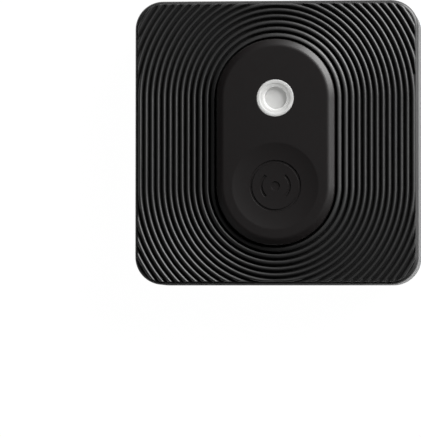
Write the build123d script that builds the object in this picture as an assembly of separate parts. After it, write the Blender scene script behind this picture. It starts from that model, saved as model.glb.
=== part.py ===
from build123d import *
import os
from math import atan, cos, degrees, exp, radians, sin

# Square Bluetooth tracker tag lying on its back, in millimetres.
# Origin: centre of the mounting tape's lower face.
# +Z is out of the ribbed front, +Y towards the indicator end.

# Housing
HALF_SIDE = 19.0             # half of the 38 mm side
CORNER_R = 3.75              # outer corner radius seen from the front
WALL = 1.6                   # side wall thickness
REAR_FACE_Z = 0.8            # rear cover's outer face, which is also the tape's thickness
REAR_PLATE_TOP_Z = 2.4       # inner face of the rear cover's plate
PARTING_Z = 3.4              # joint between the rear and the front cover
PLATE_UNDER_Z = 8.5          # underside of the front plate
FLOOR_Z = 9.68               # floor of the grooves between the ribs
CREST_Z = 10.1               # tops of the ribs
TOP_EDGE_R = 0.45            # rounding of the outer edge at the groove floor
REAR_EDGE_R = 0.6            # rounding of the rear cover's outer edge
TONGUE_GAP = 0.1             # play between the rear cover's tongue and the front cover's wall
TONGUE_T = 1.0               # thickness of that tongue
TONGUE_TOP_Z = 4.6           # top of that tongue

# Ribs: concentric stadium rings about two arc centres on the Y axis
ARC_Y = 5.87                 # the arc centres are at y = +ARC_Y and -ARC_Y
FIRST_GROOVE_R = 8.05        # centreline of the gap round the press pad
INNER_PITCH = 0.865          # spacing of the grooves next to the pad
INNER_RINGS = 3              # rings that have the wider spacing
GROOVE_PITCH = 0.808         # spacing of the other grooves
GROOVE_W = 0.33              # width of one groove
RING_COUNT = 17              # rings needed to reach the farthest corner
RIB_SHOULDER = 0.12          # height of the rounded crest above the rib's straight flanks
RIB_RISE = 0.5               # the rings climb by this much towards the pad
RIB_RISE_REACH = 1.7         # distance from the pad over which most of that climb is lost
RIB_INSET = 0.4              # the ribs end this far inside the outline

# Press pad
PAD_R = 7.9                  # half width of the pad's wall
PAD_TOP_Z = 11.6             # flat top of the pad
PAD_BEVEL = (0.84, 0.38)     # width and drop of the bevel round the pad's top
PAD_WALL = 1.2               # wall and top thickness
PAD_OPENING_R = 8.2          # half width of the opening in the front cover
PAD_FLANGE_R = 8.9           # half width of the flange that keeps the pad in
PAD_FLANGE_Z = (7.85, 8.45)  # flange's lower and upper face
DISH_R = 5.9                 # finger dish round the switch end
DISH_DEPTH = 0.22
MARK_R = 3.45                # outer radius of the debossed ring in the dish
MARK_W = 0.35
MARK_DEPTH = 0.12
MARK_DOT_R = 0.6
SWITCH_Y = -ARC_Y            # the switch is below the dish's centre
SEAL_LIP_R = (8.95, 9.35)    # sealing membrane: lip beside the flange, web, and bonded bead
SEAL_WEB_R = 10.0
SEAL_BEAD_R = 10.8

# Light guide
LIGHT_Y = ARC_Y              # centre of the indicator
LIGHT_R = 2.45
LIGHT_HOLE_R = 2.48
LIGHT_TOP_Z = 11.57
LIGHT_RIM_W = 0.45           # flat rim outside the dished part
LIGHT_STEP = 0.08            # small step down inside the rim
LIGHT_DISH_R = (1.95, 1.5)   # dished part's outer and inner radius
LIGHT_DISH_DEPTH = 0.3
LIGHT_RECESS_FLOOR_Z = 10.65
LIGHT_FLANGE_R = 3.1
LIGHT_FLANGE_Z = (9.75, 10.38)
LIGHT_LEG_R = 1.7
LIGHT_LEG_Z = 8.35

# Battery door: a quarter-turn bayonet with three lugs
DOOR_R = 12.6
DOOR_PLAY = 0.08             # radial play of the door in the rear cover
DOOR_FACE_Z = 0.95
DOOR_TOP_Z = 1.95            # upper face of the door's disc
DOOR_NECK_R = (10.25, 10.9)  # inner and outer radius of the neck round the cell
DOOR_NECK_TOP_Z = 3.85
NECK_HOLE_R = 11.0           # hole in the rear cover's retaining ring
RETAINER_Z = (2.0, 3.2)      # retaining ring's lower and upper face
LUG_R = 11.75
LUG_Z = (3.25, 3.85)
LUG_HALF_DEG = 12.0
LUG_NOTCH_R = 11.9
STOP_GAP_DEG = 0.5           # free angle between a lug and its stop
STOP_DEG = 4.5               # width of one stop
STOP_R = (12.0, 11.25)       # outer and inner radius of the stops
UNLOCK_DEG = 40.0            # turn from locked to free
LUG_ANGLES = (0.0, 120.0, 240.0)
HUB_R = 13.9                 # outer radius of the rear cover's hub
COIN_SLOT = (14.0, 1.9)      # length and width of the slot in the door
COIN_SLOT_DEPTH = 0.5
SEAL_RING_R = 11.8           # door seal's ring radius
SEAL_SECTION_R = 0.3
SEAL_GROOVE_DEPTH = 0.6
DOOR_CHAMFER = 0.2
INDEX_R = 0.3                # small round marks for locked and free
INDEX_RING_R = 13.1          # the marks on the rear cover
DOOR_INDEX_Y = 10.6          # the mark on the door
INDEX_DEPTH = 0.15

# Coin cell, 20 mm by 3.2 mm
CELL_R = 10.0
CELL_Z = (2.05, 5.25)
CELL_SHEET = 0.25            # thickness of the can and of the cap
CELL_CRIMP_Z = 5.0
CELL_CRIMP_R = 9.2
CELL_CAP_R = 9.0
CELL_CAP_BASE_Z = 4.05       # lower rim of the cap
CELL_EDGE_R = 0.2            # rounding of the can and of the cap

# Cradle that holds the cell and carries the board
CRADLE_LUG_R = 12.1          # room for the door's lugs
CRADLE_LUG_TOP_Z = 4.1
CRADLE_CELL_R = 10.4
CRADLE_LIP_Z = 5.6
CRADLE_LIP_R = 9.2
CRADLE_NOTCH = (11.4, 4.0, 4.6)   # middle, length and width of the gap for the contact

# Circuit board and its parts
BOARD_Z = (6.3, 7.3)
BOARD_HALF = 16.9
BOARD_CORNER_R = 1.8
BOARD_CORNER_CUT = (2.0, 4.6)     # offset from the screw and side of the square cut at each corner
POST_R = 1.0                 # front cover's posts that hold the board down
POST_XY = (13.2, 6.5)
SWITCH_SIZE = 5.2
SWITCH_BASE_TOP_Z = 8.3
SWITCH_FRAME_T = 0.2
SWITCH_CHAMBER_R = 2.0
SWITCH_CHAMBER_Z = 7.75
DOME_R = 1.9
DOME_T = 0.08
DOME_TOP_Z = 8.04
PLUNGER_R = 1.4
PLUNGER_FLANGE_R = 1.8
PLUNGER_Z = (8.06, 9.1)
ACTUATOR_R = 1.3
ACTUATOR_GAP = 0.02          # between the plunger's top and the pad's actuator post
SWITCH_LEG = (0.8, 0.7, 0.2)      # length, width and height of a soldered leg
SWITCH_LEG_Y = 1.6                # legs to each side of the switch's middle
LED_SIZE = (2.0, 1.6, 0.4)
LED_LENS = (0.65, 0.25)           # radius and height
SOUNDER_XY = (0.0, 0.9)
SOUNDER_SIZE = (5.0, 2.0)         # side and height
SOUNDER_WALL = 0.3
SOUNDER_CHAMBER_R = 2.2
SOUNDER_OUTLET_R = 0.5
COIL_R = (1.6, 0.8)
COIL_H = 0.7
DIAPHRAGM_R = 2.18
DIAPHRAGM_Z = (1.2, 1.3)          # above the board

# Soldered packages: x, y, size along X, size along Y, height
RADIO_CHIP = (0.0, 10.2, 4.0, 4.0, 0.85)
MAIN_CRYSTAL = (-3.6, 9.4, 1.6, 2.0, 0.5)
CLOCK_CRYSTAL = (3.6, 9.0, 1.5, 3.2, 0.75)
CHIP_ANTENNA = (14.9, 0.0, 1.6, 3.2, 1.0)
# Rows of small packages: size along X, size along Y, height, then each row's x, first y, step and count
CAPACITOR_SIZE = (1.0, 0.5, 0.5)
CAPACITOR_ROWS = ((5.2, -1.6, 1.0, 6), (-14.6, -3.0, 1.2, 4))
RESISTOR_SIZE = (1.0, 0.5, 0.35)
RESISTOR_ROWS = ((-5.2, -1.6, 1.0, 5), (-14.6, 2.4, 1.2, 3))
INDUCTOR_SIZE = (1.25, 2.0, 0.9)
INDUCTOR_ROWS = ((12.6, -1.4, 2.8, 2),)

# Screws and seals
SCREW_XY = 14.6
SCREW_R = 1.0
SCREW_HOLE_R = 1.02
SCREW_CLEAR_R = 1.15
SCREW_HEAD_R = 1.75
SCREW_HEAD_Z = (0.95, 2.0)
SCREW_HEAD_EDGE_R = 0.4
SCREW_RECESS = (2.2, 0.45, 0.55)  # length, width and depth of the cross recess
SCREW_END_Z = 6.8
COUNTERBORE_R = 1.95
REAR_BOSS_R = 2.6
REAR_BOSS_TOP_Z = 3.6
FRONT_BOSS_R = 2.2
FRONT_BOSS_GAP = 0.05
PILOT_TOP_Z = 7.0
GASKET_HALF = (17.9, 18.5)   # inner and outer half side of the housing seal
GASKET_H = 0.6
TAPE_HALF = 17.0
TAPE_CORNER_R = 2.2
TAPE_HOLE_R = 13.5
TAPE_SCALLOP_R = 3.0

CUT = 0.5                    # how far a cutting solid runs past the face that it opens


def disc(radius, z0, z1, x=0.0, y=0.0):
    """Upright cylinder between two heights."""
    return Pos(x, y, z0) * Cylinder(radius, z1 - z0, align=(Align.CENTER, Align.CENTER, Align.MIN))


def ring(outer, inner, z0, z1):
    """Upright tube about the Z axis."""
    return disc(outer, z0, z1) - disc(inner, z0, z1)


def stadium(half_width, z0, z1):
    """Upright solid with straight sides and half-round ends on the two arc centres."""
    return extrude(Pos(0, 0, z0) * SlotCenterToCenter(2 * ARC_Y, 2 * half_width, rotation=90), z1 - z0)


def rounded_square(half, radius, z0, z1):
    """Upright solid with a rounded square outline."""
    return extrude(Pos(0, 0, z0) * RectangleRounded(2 * half, 2 * half, radius), z1 - z0)


def block(x, y, size_x, size_y, z0, z1):
    """Upright box centred on x, y."""
    return Pos(x, y, z0) * Box(size_x, size_y, z1 - z0, align=(Align.CENTER, Align.CENTER, Align.MIN))


def sector(outer, inner, z0, z1, mid_deg, half_deg):
    """Piece of an upright tube that spans half_deg to each side of mid_deg."""
    low = radians(mid_deg - half_deg)
    high = radians(mid_deg + half_deg)
    mid = radians(mid_deg)
    outline = Line((inner * cos(low), inner * sin(low)), (outer * cos(low), outer * sin(low)))
    outline += ThreePointArc(
        (outer * cos(low), outer * sin(low)),
        (outer * cos(mid), outer * sin(mid)),
        (outer * cos(high), outer * sin(high)))
    outline += Line((outer * cos(high), outer * sin(high)), (inner * cos(high), inner * sin(high)))
    outline += ThreePointArc(
        (inner * cos(high), inner * sin(high)),
        (inner * cos(mid), inner * sin(mid)),
        (inner * cos(low), inner * sin(low)))
    return extrude(Pos(0, 0, z0) * make_face(outline), z1 - z0)


def screw_places():
    """The four screw centres."""
    return [(sx * SCREW_XY, sy * SCREW_XY) for sx in (-1, 1) for sy in (-1, 1)]


# Front cover

def groove_r(k):
    """Distance of groove k from the arc centres."""
    inner = min(k, INNER_RINGS)
    return FIRST_GROOVE_R + inner * INNER_PITCH + (k - inner) * GROOVE_PITCH


def crest_point(r, drop):
    """Point of the section, this far below the crests' level, which climbs towards the pad."""
    return (r, CREST_Z - drop + RIB_RISE * exp((FIRST_GROOVE_R - r) / RIB_RISE_REACH))


def rib_profile():
    """Section through all ribs, x as the distance from the arc centre and y as the height."""
    sunk_z = FLOOR_Z - 0.05
    base_z = FLOOR_Z - 0.3
    first_r = FIRST_GROOVE_R
    outline = Line((first_r, base_z), (first_r, sunk_z))
    for k in range(RING_COUNT):
        rib_in = groove_r(k) + GROOVE_W / 2
        rib_out = groove_r(k + 1) - GROOVE_W / 2
        shoulder_in = crest_point(rib_in, RIB_SHOULDER)
        shoulder_out = crest_point(rib_out, RIB_SHOULDER)
        outline += Line((groove_r(k) - (GROOVE_W / 2 if k else 0), sunk_z), (rib_in, sunk_z))
        outline += Line((rib_in, sunk_z), shoulder_in)
        outline += ThreePointArc(shoulder_in, crest_point((rib_in + rib_out) / 2, 0), shoulder_out)
        outline += Line(shoulder_out, (rib_out, sunk_z))
    outline += Line((rib_out, sunk_z), (rib_out, base_z))
    outline += Line((rib_out, base_z), (first_r, base_z))
    return make_face(outline)


def ribs():
    """All ribs as one comb: half-round ends and straight runs, cut off inside the outline."""
    face = rib_profile()
    straight = extrude(Plane.XZ * face, ARC_Y, both=True)
    upper = revolve(Pos(0, ARC_Y, 0) * (Plane.XZ * face), Axis((0, ARC_Y, 0), (0, 0, 1)), 180)
    comb = straight + mirror(straight, Plane.YZ) + upper + mirror(upper, Plane.XZ)
    limit = rounded_square(HALF_SIDE - RIB_INSET, CORNER_R - RIB_INSET, FLOOR_Z - 0.5, CREST_Z + RIB_RISE + CUT)
    return comb & limit


def front_bosses():
    """Screw bosses in the corners, tied to the walls, and the posts that hold the board down."""
    inner_half = HALF_SIDE - WALL
    web = 1.0
    bosses = []
    for x, y in screw_places():
        reach = inner_half + CUT - SCREW_XY
        side_x = 1 if x > 0 else -1
        side_y = 1 if y > 0 else -1
        bosses.append(disc(FRONT_BOSS_R, REAR_BOSS_TOP_Z + FRONT_BOSS_GAP, PLATE_UNDER_Z + CUT, x, y))
        bosses.append(block(x + side_x * reach / 2, y, reach, web, TONGUE_TOP_Z + 0.1, PLATE_UNDER_Z + CUT))
        bosses.append(block(x, y + side_y * reach / 2, web, reach, TONGUE_TOP_Z + 0.1, PLATE_UNDER_Z + CUT))
    for sx in (-1, 1):
        for sy in (-1, 1):
            bosses.append(disc(POST_R, BOARD_Z[1], PLATE_UNDER_Z + CUT, sx * POST_XY[0], sy * POST_XY[1]))
    return bosses


def gasket_ring(half_in, half_out, z0, z1):
    """Rounded square ring, parallel to the housing's outline."""
    outer = rounded_square(half_out, CORNER_R - (HALF_SIDE - half_out), z0, z1)
    return outer - rounded_square(half_in, CORNER_R - (HALF_SIDE - half_in), z0, z1)


def front_cover():
    """Front shell with the ribbed face, the pad's opening, screw bosses and the seal's groove."""
    shell = rounded_square(HALF_SIDE, CORNER_R, PARTING_Z, FLOOR_Z)
    shell = fillet(shell.edges().group_by(Axis.Z)[-1], TOP_EDGE_R)
    shell -= rounded_square(HALF_SIDE - WALL, CORNER_R - WALL, PARTING_Z - CUT, PLATE_UNDER_Z)
    shell += front_bosses()
    shell += ribs()
    shell -= stadium(PAD_OPENING_R, PLATE_UNDER_Z - CUT, CREST_Z + RIB_RISE + CUT)
    shell -= [disc(SCREW_HOLE_R, PARTING_Z, PILOT_TOP_Z, x, y) for x, y in screw_places()]
    shell -= gasket_ring(GASKET_HALF[0], GASKET_HALF[1], PARTING_Z - CUT, PARTING_Z + GASKET_H)
    return shell


def housing_seal():
    """Silicone ring in the front cover's groove."""
    play = 0.01
    return gasket_ring(GASKET_HALF[0] + play, GASKET_HALF[1] - play, PARTING_Z, PARTING_Z + GASKET_H - play)


# Press pad and its seal

def press_pad():
    """Hollow pad with flange, finger dish, debossed ring and the post that works the switch."""
    bevel_z = PAD_TOP_Z - PAD_BEVEL[1]
    body = stadium(PAD_R, PAD_FLANGE_Z[0], bevel_z)
    outline = Pos(0, 0, bevel_z) * SlotCenterToCenter(2 * ARC_Y, 2 * PAD_R, rotation=90)
    body += extrude(outline, PAD_BEVEL[1], taper=degrees(atan(PAD_BEVEL[0] / PAD_BEVEL[1])))
    body += stadium(PAD_FLANGE_R, PAD_FLANGE_Z[0], PAD_FLANGE_Z[1])
    body -= stadium(PAD_R - PAD_WALL, PAD_FLANGE_Z[0] - CUT, PAD_TOP_Z - PAD_WALL)
    body += disc(ACTUATOR_R, PLUNGER_Z[1] + ACTUATOR_GAP, PAD_TOP_Z - PAD_WALL / 2, 0, SWITCH_Y)
    body -= disc(LIGHT_HOLE_R, PAD_TOP_Z - PAD_WALL - CUT, PAD_TOP_Z + CUT, 0, LIGHT_Y)
    sphere_r = (DISH_R ** 2 + DISH_DEPTH ** 2) / (2 * DISH_DEPTH)
    body -= Pos(0, SWITCH_Y, PAD_TOP_Z - DISH_DEPTH + sphere_r) * Sphere(sphere_r)
    mark_z = PAD_TOP_Z - DISH_DEPTH - MARK_DEPTH
    mark = disc(MARK_R, mark_z, PAD_TOP_Z, 0, SWITCH_Y) - disc(MARK_R - MARK_W, mark_z, PAD_TOP_Z, 0, SWITCH_Y)
    body -= mark
    body -= disc(MARK_DOT_R, mark_z, PAD_TOP_Z, 0, SWITCH_Y)
    return body


def pad_seal():
    """Silicone membrane: lip beside the pad's flange, thin web, and a bead bonded to the front plate."""
    web_z = (8.1, 8.35)
    lip = stadium(SEAL_LIP_R[1], 7.95, PLATE_UNDER_Z) - stadium(SEAL_LIP_R[0], 7.95, PLATE_UNDER_Z)
    web = stadium(SEAL_WEB_R, web_z[0], web_z[1]) - stadium(SEAL_LIP_R[0], web_z[0], web_z[1])
    bead = stadium(SEAL_BEAD_R, 7.9, PLATE_UNDER_Z) - stadium(SEAL_WEB_R, 7.9, PLATE_UNDER_Z)
    return lip + web + bead


def light_guide():
    """Translucent plug with a rim, a conical dish and a round recess, a flange and a leg above the lamp."""
    cone_top_z = LIGHT_TOP_Z - LIGHT_STEP
    body = disc(LIGHT_R, LIGHT_FLANGE_Z[0], LIGHT_TOP_Z, 0, LIGHT_Y)
    body += disc(LIGHT_FLANGE_R, LIGHT_FLANGE_Z[0], LIGHT_FLANGE_Z[1], 0, LIGHT_Y)
    body += disc(LIGHT_LEG_R, LIGHT_LEG_Z, LIGHT_FLANGE_Z[0], 0, LIGHT_Y)
    body -= disc(LIGHT_R - LIGHT_RIM_W, cone_top_z, LIGHT_TOP_Z + CUT, 0, LIGHT_Y)
    outer_r, inner_r = LIGHT_DISH_R
    dish = Cone(inner_r, outer_r, LIGHT_DISH_DEPTH, align=(Align.CENTER, Align.CENTER, Align.MAX))
    body -= Pos(0, LIGHT_Y, cone_top_z) * dish
    body -= disc(inner_r, LIGHT_RECESS_FLOOR_Z, LIGHT_TOP_Z, 0, LIGHT_Y)
    return body


# Rear cover, door and what holds them

def door_stops():
    """Blocks on the retaining ring that end the door's turn each way."""
    stops = []
    for angle in LUG_ANGLES:
        locked = angle + LUG_HALF_DEG + STOP_GAP_DEG + STOP_DEG / 2
        free = angle - UNLOCK_DEG - LUG_HALF_DEG - STOP_GAP_DEG - STOP_DEG / 2
        for middle in (locked, free):
            stops.append(sector(STOP_R[0], STOP_R[1], RETAINER_Z[1] - 0.1, LUG_Z[1], middle, STOP_DEG / 2))
    return stops


def rear_cover():
    """Rear shell with the door's seat, retaining ring, stops, tongue and screw bosses."""
    cover = rounded_square(HALF_SIDE, CORNER_R, REAR_FACE_Z, PARTING_Z)
    cover = fillet(cover.edges().group_by(Axis.Z)[0], REAR_EDGE_R)
    cover -= rounded_square(HALF_SIDE - WALL, CORNER_R - WALL, REAR_PLATE_TOP_Z, PARTING_Z + CUT)
    tongue_out = HALF_SIDE - WALL - TONGUE_GAP
    tongue = gasket_ring(tongue_out - TONGUE_T, tongue_out, REAR_PLATE_TOP_Z - 0.2, TONGUE_TOP_Z)
    for x, y in screw_places():
        tongue -= disc(FRONT_BOSS_R + 0.15, REAR_BOSS_TOP_Z, TONGUE_TOP_Z + CUT, x, y)
    cover += tongue
    cover += disc(HUB_R, REAR_FACE_Z, RETAINER_Z[1])
    cover += [disc(REAR_BOSS_R, REAR_FACE_Z, REAR_BOSS_TOP_Z, x, y) for x, y in screw_places()]
    cover -= disc(DOOR_R + DOOR_PLAY, REAR_FACE_Z - CUT, RETAINER_Z[0])
    cover -= disc(NECK_HOLE_R, RETAINER_Z[0] - CUT, RETAINER_Z[1] + CUT)
    for angle in LUG_ANGLES:
        notch = angle - UNLOCK_DEG
        half = LUG_HALF_DEG + STOP_GAP_DEG
        cover -= sector(LUG_NOTCH_R, NECK_HOLE_R - 0.5, RETAINER_Z[0] - CUT, RETAINER_Z[1] + CUT, notch, half)
    cover += door_stops()
    for x, y in screw_places():
        cover -= disc(COUNTERBORE_R, REAR_FACE_Z - CUT, SCREW_HEAD_Z[1], x, y)
        cover -= disc(SCREW_CLEAR_R, REAR_FACE_Z, REAR_BOSS_TOP_Z + CUT, x, y)
    for angle in (90.0, 90.0 - UNLOCK_DEG):
        x = INDEX_RING_R * cos(radians(angle))
        y = INDEX_RING_R * sin(radians(angle))
        cover -= disc(INDEX_R, REAR_FACE_Z - CUT, REAR_FACE_Z + INDEX_DEPTH, x, y)
    return cover


def battery_door():
    """Round door with a coin slot, a seal groove, a neck round the cell and three bayonet lugs."""
    door = disc(DOOR_R, DOOR_FACE_Z, DOOR_TOP_Z)
    door = chamfer(door.edges().group_by(Axis.Z)[0], DOOR_CHAMFER)
    door += ring(DOOR_NECK_R[1], DOOR_NECK_R[0], DOOR_TOP_Z, DOOR_NECK_TOP_Z)
    for angle in LUG_ANGLES:
        door += sector(LUG_R, DOOR_NECK_R[1] - 0.3, LUG_Z[0], LUG_Z[1], angle, LUG_HALF_DEG)
    groove_z = DOOR_TOP_Z - SEAL_GROOVE_DEPTH
    door -= ring(SEAL_RING_R + SEAL_SECTION_R, SEAL_RING_R - SEAL_SECTION_R, groove_z, DOOR_TOP_Z + CUT)
    slot = Pos(0, 0, DOOR_FACE_Z - CUT) * SlotOverall(COIN_SLOT[0], COIN_SLOT[1])
    door -= extrude(slot, COIN_SLOT_DEPTH + CUT)
    door -= disc(INDEX_R, DOOR_FACE_Z - CUT, DOOR_FACE_Z + INDEX_DEPTH, 0, DOOR_INDEX_Y)
    return door


def door_seal():
    """Rubber ring in the door's groove, against the rear cover's shoulder."""
    height = DOOR_TOP_Z - SEAL_GROOVE_DEPTH + SEAL_SECTION_R
    return Pos(0, 0, height) * Torus(SEAL_RING_R, SEAL_SECTION_R - 0.01)


def mounting_tape():
    """Foam tape with a round hole for the door and cut corners for the screws."""
    tape = rounded_square(TAPE_HALF, TAPE_CORNER_R, 0, REAR_FACE_Z)
    tape -= disc(TAPE_HOLE_R, -CUT, REAR_FACE_Z + CUT)
    tape -= [disc(TAPE_SCALLOP_R, -CUT, REAR_FACE_Z + CUT, x, y) for x, y in screw_places()]
    return tape


def case_screws():
    """Four pan-head screws with cross recesses."""
    screws = []
    for x, y in screw_places():
        head = disc(SCREW_HEAD_R, SCREW_HEAD_Z[0], SCREW_HEAD_Z[1], x, y)
        head = fillet(head.edges().group_by(Axis.Z)[0], SCREW_HEAD_EDGE_R)
        screw = head + disc(SCREW_R, SCREW_HEAD_Z[1], SCREW_END_Z, x, y)
        length, width, depth = SCREW_RECESS
        for size_x, size_y in ((length, width), (width, length)):
            screw -= block(x, y, size_x, size_y, SCREW_HEAD_Z[0] - CUT, SCREW_HEAD_Z[0] + depth)
        screws.append(screw)
    return Compound(children=screws)


# Cell, cradle and contacts

def cell_cradle():
    """Ring on the rear cover's hub that centres the cell and carries the board."""
    cradle = disc(HUB_R, RETAINER_Z[1], BOARD_Z[0])
    cradle -= disc(CRADLE_LUG_R, RETAINER_Z[1] - CUT, CRADLE_LUG_TOP_Z)
    cradle -= disc(CRADLE_CELL_R, CRADLE_LUG_TOP_Z - CUT, CRADLE_LIP_Z)
    cradle -= disc(CRADLE_LIP_R, CRADLE_LIP_Z - CUT, BOARD_Z[0] + CUT)
    notch_x, length, width = CRADLE_NOTCH
    cradle -= block(notch_x, 0, length, width, CRADLE_LUG_TOP_Z, BOARD_Z[0] + CUT)
    return cradle


def coin_cell_can():
    """Positive can: a cup crimped inwards at its rim."""
    can = disc(CELL_R, CELL_Z[0], CELL_CRIMP_Z)
    can = fillet(can.edges().group_by(Axis.Z)[0], CELL_EDGE_R)
    can -= disc(CELL_R - CELL_SHEET, CELL_Z[0] + CELL_SHEET, CELL_CRIMP_Z - CELL_SHEET)
    can -= disc(CELL_CRIMP_R, CELL_CRIMP_Z - CELL_SHEET - CUT, CELL_CRIMP_Z + CUT)
    return can


def coin_cell_grommet():
    """Insulating ring between the can and the cap."""
    bore = CELL_CAP_R
    low = ring(CELL_R - CELL_SHEET, bore, CELL_Z[0] + CELL_SHEET, CELL_CRIMP_Z - CELL_SHEET)
    return low + ring(CELL_CRIMP_R, bore, CELL_CRIMP_Z - CELL_SHEET, CELL_CRIMP_Z)


def coin_cell_cap():
    """Negative cap: an upside-down dish."""
    cap = disc(CELL_CAP_R, CELL_CAP_BASE_Z, CELL_Z[1])
    cap = fillet(cap.edges().group_by(Axis.Z)[-1], CELL_EDGE_R)
    cap -= disc(CELL_CAP_R - CELL_SHEET, CELL_CAP_BASE_Z - CUT, CELL_Z[1] - CELL_SHEET)
    return cap


def coin_cell_core():
    """Electrode stack that fills the cell."""
    stack = disc(CELL_CAP_R, CELL_Z[0] + CELL_SHEET, CELL_CAP_BASE_Z)
    return stack + disc(CELL_CAP_R - CELL_SHEET, CELL_CAP_BASE_Z, CELL_Z[1] - CELL_SHEET)


def cell_contact_positive():
    """Bent strip from the board down to the side of the can."""
    sheet = 0.2
    width = 4.0
    foot_length = 2.8
    strip_x = CELL_R + 0.02
    foot = block(strip_x + foot_length / 2, 0, foot_length, width, BOARD_Z[0] - sheet, BOARD_Z[0])
    return foot + block(strip_x + sheet / 2, 0, sheet, width, CRADLE_LUG_TOP_Z + 0.1, BOARD_Z[0])


def cell_contact_negative():
    """Bowed spring strip between the board and the cap."""
    half_length = 4.0
    foot_length = 1.0
    sheet = 0.15
    inner_x = half_length - foot_length
    top_z = BOARD_Z[0] - sheet
    inner_z = top_z + 0.02
    low_z = CELL_Z[1] + 0.01
    outline = ThreePointArc((-half_length, top_z), (0, low_z), (half_length, top_z))
    outline += Line((half_length, top_z), (half_length, BOARD_Z[0]))
    outline += Line((half_length, BOARD_Z[0]), (inner_x, BOARD_Z[0]))
    outline += Line((inner_x, BOARD_Z[0]), (inner_x, inner_z))
    outline += ThreePointArc((inner_x, inner_z), (0, low_z + sheet), (-inner_x, inner_z))
    outline += Line((-inner_x, inner_z), (-inner_x, BOARD_Z[0]))
    outline += Line((-inner_x, BOARD_Z[0]), (-half_length, BOARD_Z[0]))
    outline += Line((-half_length, BOARD_Z[0]), (-half_length, top_z))
    return extrude(Plane.XZ * make_face(outline), 1.5, both=True)


# Circuit board and what is soldered to it

def circuit_board():
    """Board with its corners cut round the screw bosses."""
    board = rounded_square(BOARD_HALF, BOARD_CORNER_R, BOARD_Z[0], BOARD_Z[1])
    cuts = [disc(FRONT_BOSS_R + 0.3, BOARD_Z[0] - CUT, BOARD_Z[1] + CUT, x, y) for x, y in screw_places()]
    for x, y in screw_places():
        side_x = 1 if x > 0 else -1
        side_y = 1 if y > 0 else -1
        offset, side = BOARD_CORNER_CUT
        corner = block(x + offset * side_x, y + offset * side_y, side, side, BOARD_Z[0] - CUT, BOARD_Z[1] + CUT)
        cuts.append(corner)
    return board - cuts


def switch_base():
    """Moulded base of the tactile switch with the dome's chamber."""
    base = block(0, SWITCH_Y, SWITCH_SIZE, SWITCH_SIZE, BOARD_Z[1], SWITCH_BASE_TOP_Z)
    return base - disc(SWITCH_CHAMBER_R, SWITCH_CHAMBER_Z, SWITCH_BASE_TOP_Z + CUT, 0, SWITCH_Y)


def switch_frame():
    """Sheet metal lid of the switch."""
    top_z = SWITCH_BASE_TOP_Z + SWITCH_FRAME_T
    lid = block(0, SWITCH_Y, SWITCH_SIZE, SWITCH_SIZE, SWITCH_BASE_TOP_Z, top_z)
    return lid - disc(PLUNGER_R + 0.1, SWITCH_BASE_TOP_Z - CUT, top_z + CUT, 0, SWITCH_Y)


def switch_dome():
    """Snap dome under the plunger."""
    rise = DOME_TOP_Z - SWITCH_CHAMBER_Z
    sphere_r = (DOME_R ** 2 + rise ** 2) / (2 * rise)
    ball = Pos(0, SWITCH_Y, DOME_TOP_Z - sphere_r) * Sphere(sphere_r)
    hollow = Pos(0, SWITCH_Y, DOME_TOP_Z - sphere_r) * Sphere(sphere_r - DOME_T)
    return (ball - hollow) & disc(DOME_R, SWITCH_CHAMBER_Z, DOME_TOP_Z + CUT, 0, SWITCH_Y)


def switch_plunger():
    """Stem that carries the press from the pad to the dome."""
    flange = disc(PLUNGER_FLANGE_R, PLUNGER_Z[0], SWITCH_BASE_TOP_Z - 0.02, 0, SWITCH_Y)
    return flange + disc(PLUNGER_R, PLUNGER_Z[0], PLUNGER_Z[1], 0, SWITCH_Y)


def switch_terminals():
    """Four soldered legs of the switch."""
    length, width, height = SWITCH_LEG
    legs = []
    for side in (-1, 1):
        for row in (-1, 1):
            x = side * (SWITCH_SIZE + length) / 2
            legs.append(block(x, SWITCH_Y + row * SWITCH_LEG_Y, length, width, BOARD_Z[1], BOARD_Z[1] + height))
    return Compound(children=legs)


def status_led():
    """Surface-mounted lamp below the light guide."""
    top_z = BOARD_Z[1] + LED_SIZE[2]
    base = block(0, LIGHT_Y, LED_SIZE[0], LED_SIZE[1], BOARD_Z[1], top_z)
    return base + disc(LED_LENS[0], top_z, top_z + LED_LENS[1], 0, LIGHT_Y)


def sounder_case():
    """Moulded box of the sounder with its round chamber and outlet."""
    x, y = SOUNDER_XY
    side, height = SOUNDER_SIZE
    top_z = BOARD_Z[1] + height
    case = block(x, y, side, side, BOARD_Z[1], top_z)
    case -= disc(SOUNDER_CHAMBER_R, BOARD_Z[1] + SOUNDER_WALL, top_z - SOUNDER_WALL, x, y)
    return case - disc(SOUNDER_OUTLET_R, top_z - CUT, top_z + CUT, x, y)


def sounder_coil():
    """Copper coil on the sounder's floor."""
    x, y = SOUNDER_XY
    base_z = BOARD_Z[1] + SOUNDER_WALL
    coil = disc(COIL_R[0], base_z, base_z + COIL_H, x, y)
    return coil - disc(COIL_R[1], base_z - CUT, base_z + COIL_H + CUT, x, y)


def sounder_diaphragm():
    """Thin metal disc above the coil."""
    x, y = SOUNDER_XY
    return disc(DIAPHRAGM_R, BOARD_Z[1] + DIAPHRAGM_Z[0], BOARD_Z[1] + DIAPHRAGM_Z[1], x, y)


def chip(x, y, size_x, size_y, height):
    """One soldered package on the board's upper face."""
    return block(x, y, size_x, size_y, BOARD_Z[1], BOARD_Z[1] + height)


def chip_rows(rows, size):
    """Equal packages in rows along Y."""
    chips = []
    for x, first_y, step, count in rows:
        chips += [chip(x, first_y + i * step, *size) for i in range(count)]
    return Compound(children=chips)


def radio_chip():
    """Radio and processor in one flat package."""
    return chip(*RADIO_CHIP)


def main_crystal():
    """Crystal beside the radio chip."""
    return chip(*MAIN_CRYSTAL)


def clock_crystal():
    """Slower crystal for the clock."""
    return chip(*CLOCK_CRYSTAL)


def chip_antenna():
    """Ceramic antenna at the board's edge."""
    return chip(*CHIP_ANTENNA)


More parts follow.
